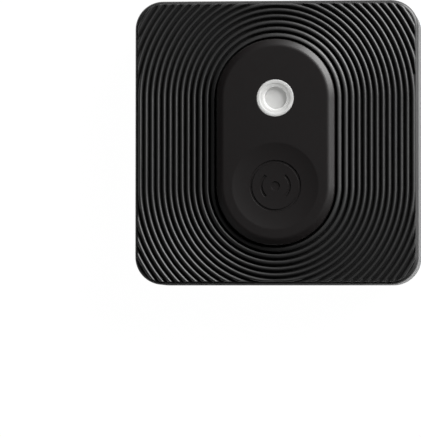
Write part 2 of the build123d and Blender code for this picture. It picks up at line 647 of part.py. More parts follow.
def capacitors():
    """Small ceramic capacitors."""
    return chip_rows(CAPACITOR_ROWS, CAPACITOR_SIZE)


def resistors():
    """Small thick-film resistors."""
    return chip_rows(RESISTOR_ROWS, RESISTOR_SIZE)


def inductors():
    """Wound chip inductors."""
    return chip_rows(INDUCTOR_ROWS, INDUCTOR_SIZE)


NODES = (
    front_cover, press_pad, pad_seal, light_guide, housing_seal, rear_cover, battery_door, door_seal,
    mounting_tape, case_screws, cell_cradle, circuit_board, switch_base, switch_frame, switch_dome,
    switch_plunger, switch_terminals, status_led, radio_chip, main_crystal, clock_crystal, chip_antenna,
    sounder_case, sounder_coil, sounder_diaphragm, capacitors, resistors, inductors, coin_cell_can,
    coin_cell_cap, coin_cell_grommet, coin_cell_core, cell_contact_positive, cell_contact_negative)


def main():
    """Write one STEP file for each node, named after its function."""
    os.makedirs("parts", exist_ok=True)
    for node in NODES:
        export_step(node(), f"parts/{node.__name__}.step")


main()
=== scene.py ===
"""Square radio tag with a ribbed face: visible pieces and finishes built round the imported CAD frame.

Lengths in the classes are millimetres in the CAD frame. Meshes are written in metres.
"""
import logging
import math
from dataclasses import dataclass
from enum import Enum

import bmesh
import bpy
from mathutils import Matrix, Vector


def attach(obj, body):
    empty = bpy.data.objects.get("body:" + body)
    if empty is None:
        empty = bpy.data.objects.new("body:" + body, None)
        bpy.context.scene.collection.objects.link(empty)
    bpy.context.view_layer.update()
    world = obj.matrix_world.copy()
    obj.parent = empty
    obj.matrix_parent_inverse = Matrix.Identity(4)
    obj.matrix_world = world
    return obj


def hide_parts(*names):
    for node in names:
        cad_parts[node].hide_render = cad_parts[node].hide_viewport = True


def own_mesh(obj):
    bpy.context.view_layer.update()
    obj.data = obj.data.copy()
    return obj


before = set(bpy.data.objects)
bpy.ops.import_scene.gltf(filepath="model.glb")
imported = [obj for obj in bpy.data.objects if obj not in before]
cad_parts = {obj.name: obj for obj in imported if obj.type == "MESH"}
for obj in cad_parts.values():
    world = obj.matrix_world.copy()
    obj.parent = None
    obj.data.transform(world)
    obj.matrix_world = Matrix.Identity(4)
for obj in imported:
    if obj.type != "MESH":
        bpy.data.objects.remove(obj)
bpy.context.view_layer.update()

MM = 0.001
LOG = logging.getLogger("tag")
PAST = 1.0  # how far a cutter reaches past what it cuts

Flat = tuple[float, float]
Section = list[Flat]
Point = tuple[float, float, float]
Loop = list[Point]


# Shapes shared by the pieces

def arc(centre: Flat, radius: float, start: float, end: float, steps: int) -> Section:
    """Points along an arc in a section, ends included.

    Args:
        centre: Arc centre as distance and height.
        radius: Arc radius.
        start: Start angle in degrees.
        end: End angle in degrees.
        steps: Number of chords.

    Returns:
        The points as (distance, height).
    """
    angles = [math.radians(start + (end - start) * i / steps) for i in range(steps + 1)]
    return [(centre[0] + radius * math.cos(a), centre[1] + radius * math.sin(a)) for a in angles]


def circle(radius: float, z: float, centre: Flat = (0.0, 0.0), steps: int = 96) -> Loop:
    """Level circle.

    Args:
        radius: Circle radius.
        z: Height.
        centre: Centre in the plane.
        steps: Number of points.

    Returns:
        The points, anticlockwise from +X.
    """
    turn = [math.tau * i / steps for i in range(steps)]
    return [(centre[0] + radius * math.cos(t), centre[1] + radius * math.sin(t), z) for t in turn]


def rounded_square(half: float, radius: float, z: float, steps: int = 20) -> Loop:
    """Level square with round corners.

    Args:
        half: Half of the side.
        radius: Corner radius.
        z: Height.
        steps: Chords in one corner.

    Returns:
        The points, anticlockwise from the corner at +X +Y.
    """
    points = []
    for quarter in range(4):
        sx, sy = ((1, 1), (-1, 1), (-1, -1), (1, -1))[quarter]
        centre = (sx * (half - radius), sy * (half - radius))
        points += [(x, y, z) for x, y in arc(centre, radius, 90 * quarter, 90 * quarter + 90, steps)]
    return points


def stadium(half_width: float, z: float, arc_y: float, steps: int = 72) -> Loop:
    """Level stadium about the two arc centres on the Y axis.

    Args:
        half_width: Distance of the outline from the segment between the arc centres.
        z: Height.
        arc_y: Distance of each arc centre from the X axis.
        steps: Chords in one half-round end.

    Returns:
        The points, anticlockwise from +X.
    """
    upper = arc((0.0, arc_y), half_width, 0, 180, steps)
    lower = arc((0.0, -arc_y), half_width, 180, 360, steps)
    return [(x, y, z) for x, y in upper + lower]


def new_piece(name: str, mesh: bmesh.types.BMesh) -> bpy.types.Object:
    """Turn a bmesh in millimetres into a linked object in metres.

    Args:
        name: Object name.
        mesh: The mesh, which is freed.

    Returns:
        The object.
    """
    bmesh.ops.recalc_face_normals(mesh, faces=mesh.faces)
    bmesh.ops.scale(mesh, vec=(MM, MM, MM), verts=mesh.verts)
    data = bpy.data.meshes.new(name)
    mesh.to_mesh(data)
    mesh.free()
    piece = bpy.data.objects.new(name, data)
    bpy.context.scene.collection.objects.link(piece)
    return piece


def loft(name: str, loops: list[Loop], closed: bool = False) -> bpy.types.Object:
    """Skin a stack of loops that have equal point counts.

    Args:
        name: Object name.
        loops: The loops in order.
        closed: Join the last loop to the first instead of capping both.

    Returns:
        A closed solid.
    """
    mesh = bmesh.new()
    rows = [[mesh.verts.new(p) for p in loop] for loop in loops]
    pairs = list(zip(rows, rows[1:]))
    if closed:
        pairs.append((rows[-1], rows[0]))
    for low, high in pairs:
        for i in range(len(low)):
            j = (i + 1) % len(low)
            mesh.faces.new((low[i], low[j], high[j], high[i]))
    if not closed:
        mesh.faces.new(rows[0])
        mesh.faces.new(rows[-1])
    return new_piece(name, mesh)


def turned(name: str, section: Section, centre: Flat, steps: int = 96) -> bpy.types.Object:
    """Turn a section about an upright axis.

    Args:
        name: Object name.
        section: Points as (radius, height).
        centre: Where the axis stands.
        steps: Chords in a full turn.

    Returns:
        A closed solid.
    """
    return loft(name, [circle(r, z, centre, steps) for r, z in section])


class Cut(Enum):
    """How a tool solid changes a piece."""

    REMOVE = "DIFFERENCE"
    ADD = "UNION"
    KEEP = "INTERSECT"


def combine(piece: bpy.types.Object, tool: bpy.types.Object, how: Cut) -> bpy.types.Object:
    """Apply one solid to another and delete the tool.

    Args:
        piece: The solid that changes.
        tool: The solid used up.
        how: What the tool does.

    Returns:
        The changed piece.
    """
    step = piece.modifiers.new("cut", "BOOLEAN")
    step.operation = how.value
    step.solver = "MANIFOLD"
    step.object = tool
    graph = bpy.context.evaluated_depsgraph_get()
    data = bpy.data.meshes.new_from_object(piece.evaluated_get(graph))
    piece.modifiers.clear()
    piece.data = data
    data.name = piece.name
    bpy.data.objects.remove(tool)
    return piece


def smooth(piece: bpy.types.Object, sharp_deg: float = 32.0) -> bpy.types.Object:
    """Shade smooth, keep the hard edges and weight the normals by face area.

    Args:
        piece: The piece.
        sharp_deg: Edges that turn more than this stay hard.

    Returns:
        The piece.
    """
    mesh = bmesh.new()
    mesh.from_mesh(piece.data)
    bmesh.ops.remove_doubles(mesh, verts=mesh.verts, dist=1e-7)
    bmesh.ops.dissolve_degenerate(mesh, edges=mesh.edges, dist=1e-7)
    limit = math.radians(sharp_deg)
    for face in mesh.faces:
        face.smooth = True
    for edge in mesh.edges:
        edge.smooth = len(edge.link_faces) == 2 and edge.calc_face_angle(0.0) < limit
    mesh.to_mesh(piece.data)
    mesh.free()
    weights = piece.modifiers.new("weighted normals", "WEIGHTED_NORMAL")
    weights.keep_sharp = True
    return piece


# Finishes

def linear(hex_colour: str) -> tuple[float, float, float, float]:
    """Turn an sRGB hex value into linear red, green, blue and alpha.

    Args:
        hex_colour: Such as "#1c1b1c".

    Returns:
        The linear colour.
    """
    parts = [int(hex_colour[i:i + 2], 16) / 255 for i in (1, 3, 5)]
    red, green, blue = [c / 12.92 if c <= 0.04045 else ((c + 0.055) / 1.055) ** 2.4 for c in parts]
    return (red, green, blue, 1.0)


def add_node(tree: bpy.types.NodeTree, kind: str, settings: dict, links: dict) -> bpy.types.Node:
    """Add a node with its settings and links.

    Args:
        tree: The node tree.
        kind: Node type.
        settings: Input values by socket name, and properties by attribute name.
        links: Source (node, output name) by input socket name or number.

    Returns:
        The node.
    """
    node = tree.nodes.new(kind)
    for key, value in settings.items():
        if isinstance(key, str) and hasattr(node, key):
            setattr(node, key, value)
        else:
            node.inputs[key].default_value = value
    for key, (source, output) in links.items():
        tree.links.new(source.outputs[output], node.inputs[key])
    return node


def new_material(name: str) -> tuple[bpy.types.Material, bpy.types.NodeTree, bpy.types.Node, bpy.types.Node]:
    """Start a material.

    Args:
        name: Its name.

    Returns:
        The material, its tree, its shader and a node with the piece's own coordinates.
    """
    material = bpy.data.materials.new(name)
    material.use_nodes = True
    tree = material.node_tree
    return material, tree, tree.nodes["Principled BSDF"], tree.nodes.new("ShaderNodeTexCoord")


@dataclass(frozen=True)
class Moulded:
    """Plastic, rubber, foam or ceramic with a fine grain that breaks up the gloss.

    The real grain is too fine to show, so it is drawn several times as coarse.
    """

    name: str
    colour: str
    tint: str
    roughness: float
    grain_mm: float
    relief_mm: float
    specular: float = 0.5
    ior: float = 1.5
    cloud_mm: float = 9.0
    gloss_spread: float = 0.05

    def material(self) -> bpy.types.Material:
        """Build the material.

        Returns:
            The material.
        """
        material, tree, shader, own = new_material(self.name)
        shader.inputs["IOR"].default_value = self.ior
        shader.inputs["Specular IOR Level"].default_value = self.specular
        spot = {"Vector": (own, "Object")}
        cloud = add_node(tree, "ShaderNodeTexNoise", {"Scale": 1 / (self.cloud_mm * MM), "Detail": 3.0}, spot)
        grain = add_node(tree, "ShaderNodeTexNoise", {"Scale": 1 / (self.grain_mm * MM), "Detail": 2.0}, spot)
        ramp = add_node(tree, "ShaderNodeMix", {"data_type": "RGBA"}, {"Factor": (cloud, "Fac")})
        ramp.inputs[6].default_value = linear(self.colour)
        ramp.inputs[7].default_value = linear(self.tint)
        tree.links.new(ramp.outputs[2], shader.inputs["Base Color"])
        gloss = add_node(tree, "ShaderNodeMapRange", {
            "To Min": self.roughness - self.gloss_spread, "To Max": self.roughness + self.gloss_spread}, {
            "Value": (grain, "Fac")})
        tree.links.new(gloss.outputs[0], shader.inputs["Roughness"])
        bump = add_node(tree, "ShaderNodeBump", {"Strength": 1.0, "Distance": self.relief_mm * MM}, {
            "Height": (grain, "Fac")})
        tree.links.new(bump.outputs[0], shader.inputs["Normal"])
        return material


@dataclass(frozen=True)
class Metal:
    """Rolled or turned metal: fine lines along one axis that stretch the gloss.

    The real lines are too fine to show, so they are drawn coarser.
    """

    name: str
    colour: str
    roughness: float
    line_mm: float
    relief_mm: float = 0.003
    gloss_spread: float = 0.08

    def material(self) -> bpy.types.Material:
        """Build the material.

        Returns:
            The material.
        """
        material, tree, shader, own = new_material(self.name)
        shader.inputs["Metallic"].default_value = 1.0
        shader.inputs["Base Color"].default_value = linear(self.colour)
        stretch = add_node(tree, "ShaderNodeMapping", {"Scale": (0.05, 1.0, 1.0)}, {
            "Vector": (own, "Object")})
        lines = add_node(tree, "ShaderNodeTexNoise", {"Scale": 1 / (self.line_mm * MM), "Detail": 2.0}, {
            "Vector": (stretch, "Vector")})
        gloss = add_node(tree, "ShaderNodeMapRange", {
            "To Min": self.roughness - self.gloss_spread, "To Max": self.roughness + self.gloss_spread}, {
            "Value": (lines, "Fac")})
        tree.links.new(gloss.outputs[0], shader.inputs["Roughness"])
        bump = add_node(tree, "ShaderNodeBump", {"Strength": 0.4, "Distance": self.relief_mm * MM}, {
            "Height": (lines, "Fac")})
        tree.links.new(bump.outputs[0], shader.inputs["Normal"])
        return material


@dataclass(frozen=True)
class Diffusing:
    """Milky polycarbonate, moulded and polished: light spreads inside it and the skin stays glossy."""

    name: str
    colour: str
    roughness: float
    depth_mm: float
    # Emission strength: a painted glow that makes the piece look evenly lit, not light from a lamp.
    glow: float = 0.0
    ior: float = 1.58
    cloud_mm: float = 1.6
    cloud_shade: float = 0.93
    gloss_spread: float = 0.04

    def material(self) -> bpy.types.Material:
        """Build the material.

        Returns:
            The material.
        """
        material, tree, shader, own = new_material(self.name)
        shader.inputs["IOR"].default_value = self.ior
        shader.inputs["Subsurface Weight"].default_value = 1.0
        shader.inputs["Subsurface Radius"].default_value = (1.0, 1.0, 0.95)
        shader.inputs["Subsurface Scale"].default_value = self.depth_mm * MM
        # Painted light: the emission is a glow that evens out the shading, not light from a lamp inside the
        # piece.
        shader.inputs["Emission Color"].default_value = linear("#fffffd")
        shader.inputs["Emission Strength"].default_value = self.glow
        spot = {"Vector": (own, "Object")}
        cloud = add_node(tree, "ShaderNodeTexNoise", {"Scale": 1 / (self.cloud_mm * MM), "Detail": 2.0}, spot)
        ramp = add_node(tree, "ShaderNodeMix", {"data_type": "RGBA"}, {"Factor": (cloud, "Fac")})
        ramp.inputs[6].default_value = linear(self.colour)
        shade = tuple(self.cloud_shade * c for c in linear(self.colour)[:3])
        ramp.inputs[7].default_value = shade + (1.0,)
        tree.links.new(ramp.outputs[2], shader.inputs["Base Color"])
        gloss = add_node(tree, "ShaderNodeMapRange", {
            "To Min": self.roughness - self.gloss_spread, "To Max": self.roughness + self.gloss_spread}, {
            "Value": (cloud, "Fac")})
        tree.links.new(gloss.outputs[0], shader.inputs["Roughness"])
        return material


class Finishes:
    """Every finish on the tag, made once."""

    def __init__(self) -> None:
        """Build the materials."""
        # Polycarbonate blend out of a spark-eroded mould: black, satin, with a tight even grain.
        self.housing = Moulded(
            "black_polycarbonate_spark_eroded", "#0b0b0b", "#0e0e0e", 0.49, 0.22, 0.004).material()
        # The same resin with a finer texture on the pad, so that it looks softer and more even.
        self.pad = Moulded(
            "black_polycarbonate_fine_texture", "#0a0808", "#0d0a0a", 0.42, 0.16, 0.003, 0.33).material()
        # Milky polycarbonate light guide: pale, with a soft gloss, and a faint painted glow (emission) that
        # makes it look evenly bright.
        self.light = Diffusing("milky_polycarbonate_polished", "#8f8f8e", 0.42, 1.6, 0.22).material()
        # Nitrile rubber: black and dull.
        self.rubber = Moulded("nitrile_rubber_moulded", "#151515", "#1b1b1b", 0.62, 0.3, 0.004).material()
        # Silicone: grey and slightly waxy.
        self.silicone = Moulded("silicone_moulded", "#8d8d8a", "#979794", 0.5, 0.4, 0.004).material()
        # Closed-cell acrylic foam tape: dark grey with open pores on its faces.
        self.foam = Moulded("acrylic_foam_die_cut", "#2b2b2c", "#3a3a3b", 0.75, 0.35, 0.03).material()
        # Steel screws with a black oxide skin: dark, with a dull metal shine.
        self.screw = Metal("black_oxide_steel_turned", "#3c3c3e", 0.35, 0.12).material()
        # Nylon and liquid crystal polymer inside the tag: pale, matt.
        self.nylon = Moulded("nylon_moulded", "#c9c7bd", "#d3d1c8", 0.5, 0.3, 0.003).material()
        # Epoxy of the chip, the resistors, the switch's base and the sounder's case: charcoal and matt.
        self.chip = Moulded("epoxy_moulded", "#1c1c1e", "#262628", 0.55, 0.12, 0.003).material()
        # Glass-fibre board under green solder mask: glossy, mottled.
        self.board = Moulded("fibreglass_solder_mask", "#0d3b22", "#134a2c", 0.3, 0.5, 0.003).material()
        # Tin-plated steel of the switch and the crystals: pale grey with a satin shine.
        self.tin = Metal("tin_plated_steel", "#c9c9c6", 0.3, 0.15).material()
        # Rolled spring steel of the dome and the sounder's diaphragm: grey and bright.
        self.spring = Metal("spring_steel_rolled", "#bdbdbb", 0.25, 0.1).material()
        # Gold-plated bronze of the cell's contacts: warm yellow and bright.
        self.gold = Metal("gold_plated_bronze", "#d9b25f", 0.25, 0.1).material()
        # Enamelled copper wire of the sounder's coil: reddish brown with a soft shine.
        self.copper = Metal("copper_wire_enamelled", "#b0653a", 0.3, 0.1).material()
        # Nickel-plated steel of the coin cell: silver, with the sharpest gloss of the metals here.
        self.nickel = Metal("nickel_plated_steel", "#c4c4c2", 0.22, 0.1).material()
        # Fired ceramic of the capacitors, inductors and antenna: tan with a dull gloss.
        self.ceramic = Moulded("alumina_fired", "#a08d70", "#ad9a7d", 0.45, 0.2, 0.003).material()
        # Epoxy lamp body: cream, glossy, and light spreads a little way into it.
        self.lamp = Diffusing("epoxy_lamp_body", "#e6e4d8", 0.3, 0.3).material()
        # Pressed manganese dioxide in the coin cell: black and very dull.
        self.powder = Moulded("manganese_dioxide_pressed", "#1a1a1a", "#242424", 0.8, 0.2, 0.01).material()


def dress(piece: bpy.types.Object, material: bpy.types.Material) -> None:
    """Give a piece one material.

    Args:
        piece: The piece or CAD node.
        material: Its finish.
    """
    if not piece.data.materials:
        piece.data.materials.append(material)
    for slot in piece.material_slots:
        slot.material = material


def place(piece: bpy.types.Object, body: str, nodes: tuple[str, ...],
          material: bpy.types.Material) -> None:
    """Put a finished piece on its body in place of CAD nodes.

    Args:
        piece: The piece.
        body: CAD body that it rides on.
        nodes: CAD nodes that it stands for.
        material: Its finish.
    """
    dress(piece, material)
    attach(piece, body)
    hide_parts(*nodes)
    LOG.info("%s on %s: %d faces", piece.name, body, len(piece.data.polygons))


# Sub-assemblies

@dataclass
class FrontCover:
    """Ribbed front shell."""

    half: float = 19.0            # half of the side
    corner: float = 3.75
    wall: float = 1.6
    parting_z: float = 3.4        # joint with the rear cover
    parting_lip: float = 0.08     # broken edge at that joint
    under_z: float = 8.5          # underside of the front plate
    floor_z: float = 9.68         # level rim outside the ribs
    edge_r: float = 0.45
    rim_lap: float = 0.1          # the rim reaches this far in under the ribs' ends
    rim_slope: float = 0.05
    arc_y: float = 5.87           # the ribs turn about y = +arc_y and -arc_y
    first_groove_r: float = 8.05  # middle of the gap round the pad
    inner_pitch: float = 0.865
    inner_rings: int = 3          # rings that have the wider inner pitch
    pitch: float = 0.808
    groove_w: float = 0.33
    root_sink: float = 0.04       # the ribs' sides end this far below the rim
    groove_drop: float = 0.12     # the V between them goes this much deeper
    rings: int = 17
    crest_z: float = 10.1         # crests far from the pad
    crest_h: float = 0.24         # height of the rounded part of a rib
    crest_steps: int = 12
    crest_power: float = 0.8
    flattening: float = 0.5       # share of that height lost beside the pad
    rise: float = 0.6             # the crests climb by this much towards the pad
    rise_reach: float = 1.7       # distance over which most of that climb is lost
    rib_inset: float = 0.4        # the ribs end this far inside the outline
    rib_end_r: float = 0.18
    opening_r: float = 8.2
    plate_z: float = 9.2          # top of the shell's plate below the ribs
    plate_lap: float = 0.2        # the ribs reach this far into that plate

    def shell(self) -> bpy.types.Object:
        """Outer body with its rounded edge, hollow below and open for the pad.

        Returns:
            The shell without ribs.
        """
        lip = self.parting_lip
        turn = arc((self.half - self.edge_r, self.floor_z - self.edge_r), self.edge_r, 0, 90, 12)
        section = [(self.half - lip, self.parting_z), (self.half, self.parting_z + lip)] + turn
        rim_in = self.half - self.rib_inset - self.rim_lap
        section += [(rim_in, self.floor_z), (rim_in - self.rim_slope, self.plate_z)]
        body = loft("front_shell", [rounded_square(h, self.corner - (self.half - h), z) for h, z in section])
        inner = self.half - self.wall
        levels = (self.parting_z - PAST, self.under_z)
        hollow = [rounded_square(inner, self.corner - self.wall, z) for z in levels]
        combine(body, loft("hollow", hollow), Cut.REMOVE)
        hole = [stadium(self.opening_r, z, self.arc_y) for z in (self.under_z - PAST, self.crest_z + PAST)]
        return combine(body, loft("hole", hole), Cut.REMOVE)

    def groove_r(self, k: int) -> float:
        """Distance of a groove from the arc centres' segment.

        Args:
            k: The groove's number, 0 for the gap round the pad.

        Returns:
            The distance of its middle.
        """
        inner = min(k, self.inner_rings)
        return self.first_groove_r + inner * self.inner_pitch + (k - inner) * self.pitch

    def nearness(self, r: float) -> float:
        """How near a distance is to the pad.

        Args:
            r: Distance from the arc centres' segment.

        Returns:
            From 1 beside the pad to 0 far out.
        """
        return math.exp((self.first_groove_r - r) / self.rise_reach)

    def crest(self, r: float, sine: float) -> float:
        """Height of a rib's top, which climbs towards the pad and is flatter there.

        Args:
            r: Distance from the arc centres' segment.
            sine: 0 at the rib's sides and 1 at its middle.

        Returns:
            The height.
        """
        near = self.nearness(r)
        round_h = self.crest_h * (1 - self.flattening * near)
        return self.crest_z + self.rise * near - round_h * (1 - sine ** self.crest_power)

    def rib_section(self) -> Section:
        """Section through every rib, from the pad's opening outwards.

        Returns:
            A closed outline as (distance from the arc centres' segment, height).
        """
        root_z = self.floor_z - self.root_sink
        base_z = self.plate_z - self.plate_lap
        section = [(self.opening_r, base_z)]
        for k in range(self.rings):
            low = self.groove_r(k) + self.groove_w / 2
            high = self.groove_r(k + 1) - self.groove_w / 2
            if k:
                section.append((low - self.groove_w / 2, root_z - self.groove_drop))
            section.append((max(low, self.opening_r), root_z))
            for i in range(self.crest_steps + 1):
                t = math.pi * (1 - i / self.crest_steps)
                across = max((low + high + (high - low) * math.cos(t)) / 2, self.opening_r)
                section.append((across, self.crest(across, math.sin(t))))
            section.append((high, root_z))
        section.append((high, base_z))
        return section

    def ribs(self) -> bpy.types.Object:
        """All ribs, ended just inside the outline with rounded tips.

        Returns:
            The ribs on a thin plate.
        """
        comb = loft("ribs", [stadium(r, z, self.arc_y) for r, z in self.rib_section()], closed=True)
        half = self.half - self.rib_inset
        corner = self.corner - self.rib_inset
        above, run, least_corner = 0.01, 2.0, 0.5
        turn = arc((half - self.rib_end_r, self.crest_z + above - self.rib_end_r), self.rib_end_r, 0, 80, 8)
        inner = half - self.rib_end_r - run
        section = [(half, self.plate_z - self.plate_lap / 2)] + turn + [(inner, self.crest_z + 2 * self.rise)]
        limit = [rounded_square(h, max(corner - (half - h), least_corner), z) for h, z in section]
        return combine(comb, loft("limit", limit), Cut.KEEP)

    def build(self, finishes: Finishes) -> None:
        """Make the cover.

        Args:
            finishes: The tag's finishes.
        """
        piece = combine(self.shell(), self.ribs(), Cut.ADD)
        piece.name = "front_cover_shell"
        place(smooth(piece), "housing", ("front_cover",), finishes.housing)


@dataclass
class PressPad:
    """Raised stadium pad with the finger dish and a debossed signal mark."""

    wall_r: float = 7.9           # half width of the pad's wall
    top_z: float = 11.6
    bevel: Flat = (0.84, 0.38)    # width and drop of the bevel round the top
    brow_r: float = 1.1           # rounding between the bevel and the top
    lip_r: float = 0.22           # rounding between the bevel and the wall
    wall: float = 1.2
    inner_chamfer: float = 0.3
    arc_y: float = 5.87
    flange_r: float = 8.9
    flange_z: Flat = (7.85, 8.45)
    light_hole_r: float = 2.48
    light_hole_depth: float = 3.0
    light_y: float = 5.87
    dish_r: float = 5.9
    dish_depth: float = 0.22
    dish_rings: int = 24
    mark_r: float = 3.45          # outer radius of the mark's ring
    line_w: float = 0.36
    mark_depth: float = 0.12
    mark_slope: float = 0.05      # the mark's sides lean out by this much
    dot_r: float = 0.62
    wave_r: float = 1.7           # inner radius of the two wave arcs
    wave_half_deg: float = 48.0
    post_r: float = 1.3           # post above the switch
    post_z: float = 9.12
    post_chamfer: float = 0.1
    post_sink: float = 0.7        # the post runs up to this far below the top

    def body(self) -> bpy.types.Object:
        """Hollow pad with its flange and the switch post.

        Returns:
            The pad before its top is cut.
        """
        slope = math.degrees(math.atan2(self.bevel[1], self.bevel[0]))
        low, high = self.flange_z
        flat_r = self.wall_r - self.bevel[0]
        section = [(self.flange_r, low), (self.flange_r, high), (self.wall_r, high)]
        lip = self.lip_r * math.tan(math.radians(45 - slope / 2))
        lip_z = self.top_z - self.bevel[1] - lip
        section += arc((self.wall_r - self.lip_r, lip_z), self.lip_r, 0, 90 - slope, 5)
        brow = self.brow_r * math.tan(math.radians(slope / 2))
        section += arc((flat_r - brow, self.top_z - self.brow_r), self.brow_r, 90 - slope, 90, 8)
        section.append((flat_r - brow - 0.1, self.top_z))
        pad = loft("press_pad_shell", [stadium(r, z, self.arc_y) for r, z in section])
        inner = self.wall_r - self.wall
        roof_z = self.top_z - self.wall
        inside = [(inner, low - PAST), (inner, roof_z - self.inner_chamfer),
                  (inner - self.inner_chamfer, roof_z)]
        combine(pad, loft("hollow", [stadium(r, z, self.arc_y) for r, z in inside]), Cut.REMOVE)
        post = [(self.post_r - self.post_chamfer, self.post_z),
                (self.post_r, self.post_z + self.post_chamfer),
                (self.post_r, self.top_z - self.post_sink)]
        return combine(pad, turned("post", post, (0.0, -self.arc_y), 48), Cut.ADD)

    def dish_height(self, r: float) -> float:
        """Height of the dish's surface.

        Args:
            r: Distance from the dish's centre.

        Returns:
            The height, which passes the flat top at the dish's rim.
        """
        return self.top_z - self.dish_depth * (1 - (r / self.dish_r) ** 3)

    def dish(self) -> bpy.types.Object:
        """Cutter for the finger dish.

        Returns:
            A closed solid.
        """
        middle_r = 0.05
        over_r = self.dish_r + 0.2
        rings = [self.dish_r * i / self.dish_rings for i in range(1, self.dish_rings + 1)]
        section = [(r, self.dish_height(r)) for r in [middle_r] + rings + [over_r]]
        section.append((over_r, self.top_z + PAST))
        return turned("dish", section, (0.0, -self.arc_y), 144)

    def groove(self, inner: float, outer: float, start: float, end: float) -> bpy.types.Object:
        """Cutter for one curved line of the mark, with sloping sides.

        Args:
            inner: Inner radius of the line.
            outer: Outer radius of the line.
            start: Start angle in degrees.
            end: End angle in degrees.

        Returns:
            A closed solid.
        """
        chord_deg = 3
        steps = max(12, int((end - start) / chord_deg))
        side = self.mark_slope
        loops = []
        for i in range(steps + 1):
            a = math.radians(start + (end - start) * i / steps)
            section = []
            for r, lift in ((inner + side, 0), (outer - side, 0), (outer + side, 1), (inner - side, 1)):
                z = self.dish_height((inner + outer) / 2) + (self.mark_depth if lift else -self.mark_depth)
                section.append((r * math.cos(a), r * math.sin(a) - self.arc_y, z))
            loops.append(section)
        if end - start < 360:
            return loft("groove", loops)
        return loft("groove", loops[:-1], closed=True)

    def build(self, finishes: Finishes) -> None:
        """Make the pad.

        Args:
            finishes: The tag's finishes.
        """
        pad = combine(self.body(), self.dish(), Cut.REMOVE)
        floor_z = self.dish_height(0) - self.mark_depth
        dot = [(self.dot_r - self.mark_slope, floor_z), (self.dot_r + self.mark_slope, self.top_z)]
        combine(pad, turned("dot", dot, (0.0, -self.arc_y), 64), Cut.REMOVE)
        combine(pad, self.groove(self.mark_r - self.line_w, self.mark_r, 0, 360), Cut.REMOVE)
        for middle in (0, 180):
            wave = self.groove(self.wave_r, self.wave_r + self.line_w, middle - self.wave_half_deg,
                               middle + self.wave_half_deg)
            combine(pad, wave, Cut.REMOVE)
        mouth_r = self.light_hole_r + 0.12
        hole = [(self.light_hole_r, self.top_z - self.light_hole_depth),
                (self.light_hole_r, self.top_z - 0.05),
                (mouth_r, self.top_z + 0.02), (mouth_r, self.top_z + PAST)]
        combine(pad, turned("hole", hole, (0.0, self.light_y), 96), Cut.REMOVE)
        place(smooth(pad), "pad", ("press_pad",), finishes.pad)


@dataclass
class LightGuide:
    """Round milky plug with a flat rim, a conical dish and a deep recess."""

    y: float = 5.87
    radius: float = 2.45
    top_z: float = 11.57
    rim_w: float = 0.45
    step: float = 0.12            # step down inside the rim
    dish_r: Flat = (1.95, 1.5)    # outer and inner radius of the conical part
    dish_depth: float = 0.1
    floor_z: float = 10.8         # floor of the recess
    floor_r: float = 0.15         # rounding round that floor
    soft: float = 0.06            # rounding of the moulded edges
    flange_r: float = 3.1
    flange_z: Flat = (9.75, 10.38)
    leg_r: float = 1.7
    leg_z: float = 8.35

    def section(self) -> Section:
        """Outline from the leg's foot round the outside to the recess's floor.

        Returns:
            Points as (radius, height).
        """
        low, high = self.flange_z
        soft = self.soft
        middle_r = 0.02
        cone_z = self.top_z - self.step
        rim_in = self.radius - self.rim_w
        outline = [(middle_r, self.leg_z), (self.leg_r - soft, self.leg_z), (self.leg_r, self.leg_z + soft)]
        outline += [(self.leg_r, low), (self.flange_r, low), (self.flange_r, high), (self.radius, high)]
        outline += arc((self.radius - soft, self.top_z - soft), soft, 0, 90, 4)
        outline += arc((rim_in + soft / 2, self.top_z - soft / 2), soft / 2, 90, 180, 3)
        outline += [(rim_in, cone_z), (self.dish_r[0], cone_z)]
        outline += [(self.dish_r[1] + soft, cone_z - self.dish_depth + soft / 2)]
        outline += arc((self.dish_r[1] + soft, cone_z - self.dish_depth - soft), soft, 110, 180, 4)
        outline += arc((self.dish_r[1] - self.floor_r, self.floor_z + self.floor_r), self.floor_r, 0, -90, 5)
        outline.append((middle_r, self.floor_z))
        return outline

    def build(self, finishes: Finishes) -> None:
        """Make the light guide.

        Args:
            finishes: The tag's finishes.
        """
        plug = turned("light_guide_plug", self.section(), (0.0, self.y), 96)
        place(smooth(plug), "pad", ("light_guide",), finishes.light)


@dataclass
class SnapDome:
    """Thin sprung dome in the switch. The real one flattens as the pad is pressed; this one keeps its rest
    shape.
    """

    y: float = -5.87
    rim_r: float = 1.9
    rim_z: float = 7.75
    crown_z: float = 8.04
    sheet: float = 0.08
    rings: int = 10
    left_when_pressed: float = 0.12

    def build(self, finishes: Finishes) -> None:
        """Make the dome.

        Args:
            finishes: The tag's finishes.
        """
        rise = self.crown_z - self.rim_z
        middle_r = 0.03
        radii = [middle_r] + [self.rim_r * i / self.rings for i in range(1, self.rings + 1)]
        top = [(r, self.rim_z + rise * (1 - (r / self.rim_r) ** 2)) for r in radii]
        under = [(r, max(z - self.sheet, self.rim_z)) for r, z in top if r < self.rim_r - self.sheet]
        piece = turned("snap_dome", top + under[::-1], (0.0, self.y), 64)
        place(smooth(piece), "housing", ("switch_dome",), finishes.spring)
        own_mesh(piece)


